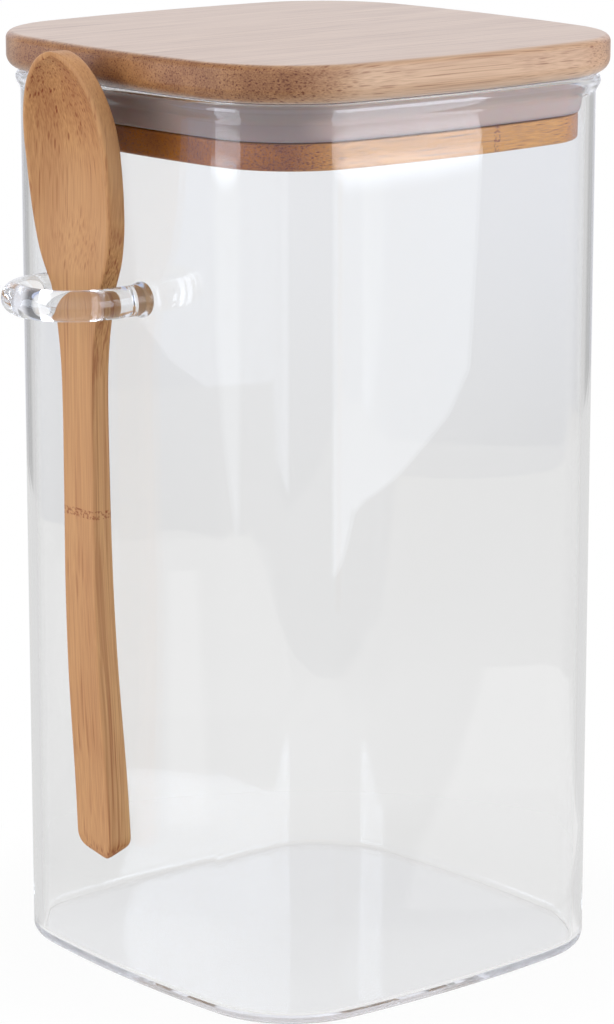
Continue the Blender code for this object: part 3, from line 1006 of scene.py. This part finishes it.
def ahead_of_corners(tree, place):
    """From 1 in front to -1 behind: the way to a place from the jar's corner on that side."""
    spot = place.outputs["Object"]
    forward = add_node(tree, "ShaderNodeVectorMath", {0: spot, 1: ROOM_WAY}, operation="DOT_PRODUCT")
    sideways = add_node(tree, "ShaderNodeVectorMath", {0: spot, 1: ROOM_SIDE}, operation="DOT_PRODUCT")
    sideways = add_node(tree, "ShaderNodeMath", {0: sideways}, operation="ABSOLUTE")
    sideways = add_node(tree, "ShaderNodeMath", {0: sideways, 1: SIDE_CORNER}, operation="SUBTRACT")
    sideways = add_node(tree, "ShaderNodeMath", {0: sideways, 1: 0.0}, operation="MAXIMUM")
    way = add_node(tree, "ShaderNodeCombineXYZ", {"X": sideways, "Y": forward})
    way = add_node(tree, "ShaderNodeVectorMath", {0: way}, operation="NORMALIZE")
    return add_node(tree, "ShaderNodeSeparateXYZ", {"Vector": way}).outputs["Y"]


print("the room is ahead at an azimuth of", round(math.degrees(ROOM_AZIMUTH)), "degrees")

# %% The white of the table
SHADOW_NEAR, SHADOW_FAR = 0.060, 0.105
WHITE_NEAR = 0.93
TABLE_NEAR, TABLE_FAR = 0.060, 0.120
MIRRORED_NEAR, MIRRORED_TABLE = 0.95, 0.50
TABLE_TURNS = (-0.20, -0.62)
BEHIND = 0.76

white_top, tree = empty_material("white_table")
place = add_node(tree, "ShaderNodeTexCoord")
reach = add_node(tree, "ShaderNodeVectorMath", {0: place.outputs["Object"]}, operation="LENGTH")
fade = add_node(
    tree,
    "ShaderNodeMapRange",
    {"Value": reach, "From Min": SHADOW_NEAR, "From Max": SHADOW_FAR, "To Min": WHITE_NEAR},
    interpolation_type="SMOOTHSTEP",
)
ray = add_node(tree, "ShaderNodeLightPath")
lit = add_node(tree, "ShaderNodeMath", {0: 1.0, 1: ray.outputs["Is Diffuse Ray"]}, operation="SUBTRACT")
share = add_node(tree, "ShaderNodeMath", {0: lit, 1: fade}, operation="MULTIPLY")
once = add_node(tree, "ShaderNodeMath", {0: ray.outputs["Glossy Depth"], 1: 0.5}, operation="GREATER_THAN")
ahead = ahead_of_corners(tree, place)
# painted light: seen mirrored, the table glows brighter near the jar, a painted pool of light
painted_pool = add_node(
    tree,
    "ShaderNodeMapRange",
    {
        "Value": reach,
        "From Min": TABLE_NEAR,
        "From Max": TABLE_FAR,
        "To Min": MIRRORED_NEAR,
        "To Max": MIRRORED_TABLE,
    },
    interpolation_type="SMOOTHSTEP",
)
mirrored = add_node(
    tree,
    "ShaderNodeMapRange",
    {
        "Value": ahead,
        "From Min": TABLE_TURNS[0],
        "From Max": TABLE_TURNS[1],
        "To Min": painted_pool,
        "To Max": BEHIND,
    },
    interpolation_type="SMOOTHSTEP",
)
white = add_node(tree, "ShaderNodeMix", {"Factor": once, "A": 1.0, "B": mirrored}, data_type="FLOAT")
paper = add_node(tree, "ShaderNodeBsdfDiffuse", {"Color": colour("f4f4f4")})
glow = add_node(tree, "ShaderNodeEmission", {"Color": colour("ffffff"), "Strength": white})
top = add_node(tree, "ShaderNodeMixShader", {0: share, 1: paper, 2: glow})
add_node(tree, "ShaderNodeOutputMaterial", {"Surface": top})
table_mesh.materials.append(white_top)
print("the table is mirrored at", MIRRORED_TABLE, "ahead of the jar and at", BEHIND, "behind it")

# %% [markdown]
# The world is the white background behind the jar. White all round would be simpler, but
# nothing in it would draw the thick glass of the loop and the bead. So a look that they bend
# far to a side ends in a dim room, which gives them their dark lines. For a view from behind
# or from above, the background is white too.

# %% The world
AMBIENT = 0.34
ROOM_DIM = 0.25
# where the background of each view is white, and where it has grown dim
FRONT_VIEW = (-0.85, -0.45)
BACK_VIEW = (0.75, 0.35)
VIEW_DOWN = (-0.10, 0.10)
MIRRORED_LOW, MIRRORED_LEVEL = 0.6, 0.95
MIRRORED_FROM = -0.40

world = bpy.data.worlds.new("studio")
bpy.context.scene.world = world
world.use_nodes = True
tree = world.node_tree
tree.nodes.clear()
way = add_node(tree, "ShaderNodeTexCoord")
split = add_node(tree, "ShaderNodeSeparateXYZ", {"Vector": way.outputs["Generated"]})
ray = add_node(tree, "ShaderNodeLightPath")
once = add_node(tree, "ShaderNodeMath", {0: ray.outputs["Glossy Depth"], 1: 0.5}, operation="GREATER_THAN")
mirrored = add_node(
    tree,
    "ShaderNodeMapRange",
    {
        "Value": split.outputs["Z"],
        "From Min": MIRRORED_FROM,
        "From Max": 0.0,
        "To Min": MIRRORED_LOW,
        "To Max": MIRRORED_LEVEL,
    },
)
ahead = add_node(
    tree, "ShaderNodeVectorMath", {0: way.outputs["Generated"], 1: ROOM_WAY}, operation="DOT_PRODUCT"
)
through = ROOM_DIM
for value, (full, dim) in (
    (ahead, FRONT_VIEW),
    (ahead, BACK_VIEW),
    (split.outputs["Z"], VIEW_DOWN),
):
    white = add_node(
        tree,
        "ShaderNodeMapRange",
        {"Value": value, "From Min": full, "From Max": dim, "To Min": 1.0, "To Max": ROOM_DIM},
        interpolation_type="SMOOTHSTEP",
    )
    through = add_node(tree, "ShaderNodeMath", {0: through, 1: white}, operation="MAXIMUM")
mirrored = add_node(tree, "ShaderNodeMath", {0: mirrored, 1: through}, operation="MULTIPLY")
clear = add_node(tree, "ShaderNodeMix", {"Factor": once, "A": through, "B": mirrored}, data_type="FLOAT")
level = add_node(
    tree,
    "ShaderNodeMix",
    {"Factor": ray.outputs["Is Diffuse Ray"], "A": clear, "B": AMBIENT},
    data_type="FLOAT",
)
tint = add_node(
    tree, "ShaderNodeMix", {"Factor": once, "A": colour("ffffff"), "B": colour("f7f8ff")}, data_type="RGBA"
)
sky = add_node(tree, "ShaderNodeBackground", {"Color": tint, "Strength": level})
add_node(tree, "ShaderNodeOutputWorld", {"Surface": sky})
print("white background, and", AMBIENT, "of it as soft light from all round")

# %% [markdown]
# The glass mirrors the room on the camera's side, which a photograph never shows directly:
# a dim surround, and in front of it the two bright softboxes. Plain white panels would do
# the same, but would show through the jar and light the wood from the wrong sides. So they
# are cards that only a reflected ray can see. Their lower edges are not level, and that is
# what cuts the bright bands on the walls of the jar off in long slanting tips. Two flat cards
# on the table are lighter patches of it.
#
# Towards the sides the surround is lighter and neutral, which keeps the walls even up to
# their edges. Its two ends are grey, and each draws a fine line along an upright edge of the
# jar. Wood mirrors a card softly, and would turn white from a card that is as bright as the
# glass needs it. So a look that isn't mirrored sharply sees no more than SEEN_ON_WOOD.

# %% The surround and the reflected softboxes
CARD_DISTANCE = 1.25
SURROUND_RADIUS = 1.45
SURROUND_TURN, SURROUND_SWEEP = math.radians(-110), math.radians(320)
SURROUND_BOTTOM, SURROUND_TOP = -0.60, 0.30
PATCH_LIFT = 0.0002
ROOM_ENDS = (-0.78, -0.88)
ROOM_SIDES = (-0.30, -0.62)
ROOM_LEVEL = 0.72
DARK_END = 0.44
SEEN_ON_WOOD = 1.0


def reflected_card(name, bm, tone, strength, heights=(-0.28, 0.0), ends=False):
    """Makes a bmesh a card that only a reflected ray sees, of two strengths at two heights."""
    mesh = bpy.data.meshes.new(name)
    bm.to_mesh(mesh)
    bm.free()
    card = bpy.data.objects.new(name, mesh)
    bpy.context.collection.objects.link(card)
    card.visible_camera = card.visible_diffuse = card.visible_shadow = False
    material, tree = empty_material(name)
    place = add_node(tree, "ShaderNodeTexCoord")
    height = add_node(tree, "ShaderNodeSeparateXYZ", {"Vector": place.outputs["Object"]})
    limits = {"From Min": heights[0], "From Max": heights[1], "To Min": strength[0], "To Max": strength[1]}
    glow = add_node(
        tree, "ShaderNodeMapRange", {"Value": height.outputs["Z"], **limits}, interpolation_type="SMOOTHSTEP"
    )
    tint = colour(tone)
    if ends:
        ahead = ahead_of_corners(tree, place)
        behind, beside = (
            add_node(
                tree,
                "ShaderNodeMapRange",
                {"Value": ahead, "From Min": turns[0], "From Max": turns[1]},
                interpolation_type="SMOOTHSTEP",
            )
            for turns in (ROOM_ENDS, ROOM_SIDES)
        )
        for factor, level in ((beside, ROOM_LEVEL), (behind, DARK_END)):
            glow = add_node(
                tree, "ShaderNodeMix", {"Factor": factor, "A": glow, "B": level}, data_type="FLOAT"
            )
        tint = add_node(
            tree, "ShaderNodeMix", {"Factor": beside, "A": tint, "B": colour("ffffff")}, data_type="RGBA"
        )
    ray = add_node(tree, "ShaderNodeLightPath")
    once = add_node(
        tree, "ShaderNodeMath", {0: ray.outputs["Glossy Depth"], 1: 0.5}, operation="GREATER_THAN"
    )
    soft = add_node(tree, "ShaderNodeMath", {0: glow, 1: SEEN_ON_WOOD}, operation="MINIMUM")
    glow = add_node(
        tree,
        "ShaderNodeMix",
        {"Factor": ray.outputs["Is Singular Ray"], "A": soft, "B": glow},
        data_type="FLOAT",
    )
    lamp = add_node(tree, "ShaderNodeEmission", {"Color": tint, "Strength": glow})
    clear = add_node(tree, "ShaderNodeBsdfTransparent", {"Color": colour("ffffff")})
    seen = add_node(tree, "ShaderNodeMixShader", {0: once, 1: clear, 2: lamp})
    add_node(tree, "ShaderNodeOutputMaterial", {"Surface": seen})
    mesh.materials.append(material)
    print(name, "reflects at", strength)


def flat_card(azimuth, corners):
    """A flat polygon that faces the jar from an azimuth, from (sideways, height) corners."""
    angle = math.radians(azimuth)
    bm = bmesh.new()
    verts = []
    for sideways, height in corners:
        x = CARD_DISTANCE * math.sin(angle) + sideways * math.cos(angle)
        y = sideways * math.sin(angle) - CARD_DISTANCE * math.cos(angle)
        verts.append(bm.verts.new((x, y, height)))
    bm.faces.new(verts)
    return bm


def patch_on_table(corners):
    """A flat polygon just over the table."""
    bm = bmesh.new()
    bm.faces.new([bm.verts.new((x, y, PATCH_LIFT)) for x, y in corners])
    return bm


# %% Place the cards
SOFTBOX_TONE = "e8f1ff"
BRIGHTER_FROM = (-0.014, 0.006)
RIGHT_CORNERS = (
    (-0.46, -0.230), (-0.05, -0.191), (0.19, -0.164), (0.34, -0.137), (0.40, -0.116),
    (0.42, -0.05), (0.44, 0.03), (0.44, 0.90), (-0.46, 0.90),
)
LEFT_CORNERS = (
    (-0.32, 0.00), (-0.23, -0.086), (-0.04, -0.139), (0.16, -0.171), (0.33, -0.203),
    (0.36, -0.178), (0.40, -0.10), (0.39, 0.00), (0.39, 0.90), (-0.34, 0.90),
)
BACK_PATCH = ((0.228, 0.184), (0.194, 0.220), (0.10, 0.25), (0.02, 0.12), (0.10, 0.02), (0.135, 0.052))
FRONT_PATCH = ((-0.250, -0.308), (-0.228, -0.330), (-0.054, -0.148), (-0.071, -0.132))
right_card, left_card = flat_card(113.5, RIGHT_CORNERS), flat_card(-20.5, LEFT_CORNERS)
reflected_card("right_softbox_seen", right_card, SOFTBOX_TONE, (1.64, 5.6), BRIGHTER_FROM)
reflected_card("left_softbox_seen", left_card, SOFTBOX_TONE, (1.10, 5.0), BRIGHTER_FROM)
reflected_card("back_patch_seen", patch_on_table(BACK_PATCH), "ffffff", (0.9, 0.9))
reflected_card("front_patch_seen", patch_on_table(FRONT_PATCH), "ffffff", (0.8, 0.8))

bm = bmesh.new()
low_corner = bm.verts.new((0, -SURROUND_RADIUS, SURROUND_BOTTOM))
high_corner = bm.verts.new((0, -SURROUND_RADIUS, SURROUND_TOP))
edge = bm.edges.new((low_corner, high_corner))
bmesh.ops.rotate(bm, cent=(0, 0, 0), matrix=Matrix.Rotation(SURROUND_TURN, 3, "Z"), verts=bm.verts)
bmesh.ops.spin(
    bm, geom=[edge], cent=(0, 0, 0), axis=(0, 0, 1), angle=SURROUND_SWEEP, steps=64, use_merge=False
)
reflected_card("dim_surround", bm, "d4e0ff", (0.12, 0.85), ends=True)

# %% [markdown]
# The lamps that light the wood are as soft: one to the right, a weaker one to the left, and
# one above. Bright cards could light it too, but a lamp is found by every sample and gives
# far less noise. The glass doesn't show the lamps, because it already mirrors the cards.

# %% The lamps
LAMPS = (
    # name, azimuth, distance, height, width, tall, radiance, and the height that it is aimed at
    ("right_softbox", 128, 1.25, 0.45, 0.8, 1.0, 4.6, 0.15),
    ("left_softbox", -26, 1.25, 0.45, 0.8, 1.0, 2.9, 0.15),
    ("top_softbox", 40, 0.45, 1.15, 1.0, 1.0, 1.5, 0.10),
)


def softbox(name, azimuth, distance, height, width, tall, radiance, aim):
    """A flat lamp of an even brightness, at an azimuth round the jar."""
    lamp = bpy.data.lights.new(name, "AREA")
    lamp.shape = "RECTANGLE"
    lamp.size = width
    lamp.size_y = tall
    lamp.energy = radiance * math.pi * width * tall
    holder = bpy.data.objects.new(name, lamp)
    angle = math.radians(azimuth)
    holder.location = (distance * math.sin(angle), -distance * math.cos(angle), height)
    holder.rotation_euler = (Vector((0, 0, aim)) - holder.location).to_track_quat("-Z", "Y").to_euler()
    holder.visible_camera = holder.visible_transmission = holder.visible_glossy = False
    bpy.context.collection.objects.link(holder)
    print(name, "gives", round(lamp.energy, 1), "W")


for row in LAMPS:
    softbox(*row)

# %% [markdown]
# Light that enters the edge of the base runs on between its two faces, as in a light guide,
# and is mirrored hundreds of times before it comes out. The path tracer has to follow it that
# far, or the foot of the jar would be drawn as a black line.

# %% Light paths
paths = bpy.context.scene.cycles
paths.max_bounces = 600
paths.glossy_bounces = 560
paths.transmission_bounces = 64
paths.transparent_max_bounces = 32
print("up to", paths.max_bounces, "bounces")

# %% [markdown]
# ## The camera
#
# A long lens from a little above, 50 degrees round from the side with the spoon, as the
# photograph was taken. It could be framed by eye, but then the outlines would never lie on
# the photographed ones. Its place and lens were fitted to the edges of the jar and the lid.

# %% Place the camera
CAMERA_AZIMUTH = math.radians(50.0)
CAMERA_ELEVATION = math.radians(13.22)
CAMERA_DISTANCE = 0.8441
CAMERA_TARGET = Vector((0, 0, 0.095))
LENS_IN_MM, SENSOR_IN_MM = 137.42, 36.0

camera_data = bpy.data.cameras.new("camera")
camera_data.lens = LENS_IN_MM
camera_data.sensor_width = SENSOR_IN_MM
camera_data.sensor_fit = "AUTO"
camera_data.clip_start = 0.01
camera = bpy.data.objects.new("camera", camera_data)
back = Vector(
    (
        math.sin(CAMERA_AZIMUTH) * math.cos(CAMERA_ELEVATION),
        -math.cos(CAMERA_AZIMUTH) * math.cos(CAMERA_ELEVATION),
        math.sin(CAMERA_ELEVATION),
    )
)
camera.location = CAMERA_TARGET + back * CAMERA_DISTANCE
camera.rotation_euler = back.to_track_quat("Z", "Y").to_euler()
bpy.context.collection.objects.link(camera)
bpy.context.scene.camera = camera
bpy.context.scene.view_settings.view_transform = "Standard"
print("camera at", [round(value, 3) for value in camera.location])
